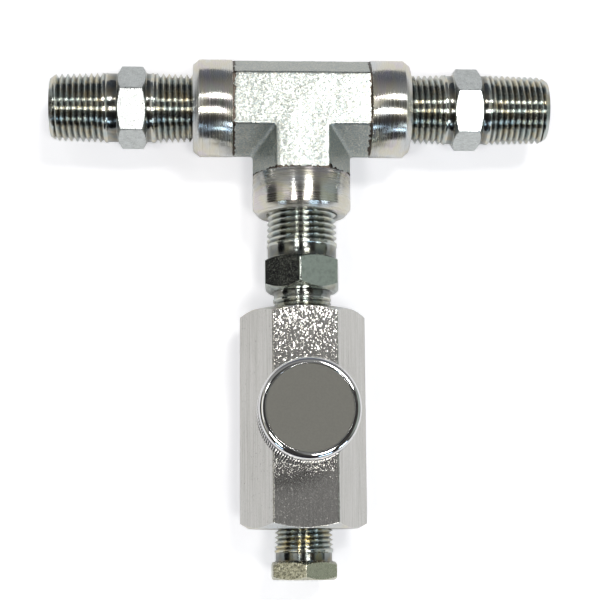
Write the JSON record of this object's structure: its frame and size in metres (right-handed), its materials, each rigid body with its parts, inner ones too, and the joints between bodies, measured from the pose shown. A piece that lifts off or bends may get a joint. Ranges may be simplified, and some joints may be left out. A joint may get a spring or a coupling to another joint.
{
  "type": "bleed block",
  "caption": "Forged pipe tee with hexagon nipples in its run and, hung from its branch, a hexagonal needle bleed valve with a round knurled knob and a plugged outlet.",
  "frame": {"origin": "centre of the valve body's back flat, on which the block lies, straight below the knob's axis", "axes": "+X along the tee's run, +Y from the valve towards the tee, +Z out of the knob's face along its axis"},
  "size_m": [0.1545, 0.1605, 0.0579],
  "materials": {
    "tee_zinc": "bright zinc plate, grainy forged panels and turned bosses",
    "nipple_zinc": "bright zinc plate over turned steel",
    "bar_zinc": "zinc plate over drawn hexagon bar, drawn lines along the length",
    "plug_zinc": "zinc plate, speckled, slightly yellow",
    "bare_steel": "turned steel",
    "knob_chrome": "polished chrome with a straight knurl",
    "face_grey": "satin grey enamel, bare",
    "black_steel": "black oxide",
    "seal_rubber": "nitrile rubber",
    "backup_plastic": "white fluoropolymer"
  },
  "bodies": {
    "block": {"tee_body": "tee_zinc", "left_run_nipple": "nipple_zinc", "right_run_nipple": "nipple_zinc", "branch_nipple": "nipple_zinc", "valve_body": "bar_zinc", "outlet_plug": "plug_zinc", "bonnet": "bare_steel", "bonnet_o_ring": "seal_rubber"},
    "seals": {"stem_o_ring": "seal_rubber", "stem_backup_ring_lower": "backup_plastic", "stem_backup_ring_upper": "backup_plastic"},
    "stem": {"needle_stem": "bare_steel", "knob": "knob_chrome", "knob_set_screw": "black_steel", "knob_face_disc": "face_grey"}
  },
  "joints": [
    {"name": "stem_lift", "type": "slide", "parent": "block", "child": "seals", "axis": [0, 0, 1], "range_m": [0, 0.00635]},
    {"name": "knob_turn", "type": "hinge", "parent": "seals", "child": "stem", "pos_m": [0, 0, 0.04], "axis": [0, 0, 1], "range_deg": [0, 2160]}
  ],
  "couplings": [
    {"joint": "stem_lift", "follows": "knob_turn", "m_per_rad": 0.00016843}
  ]
}
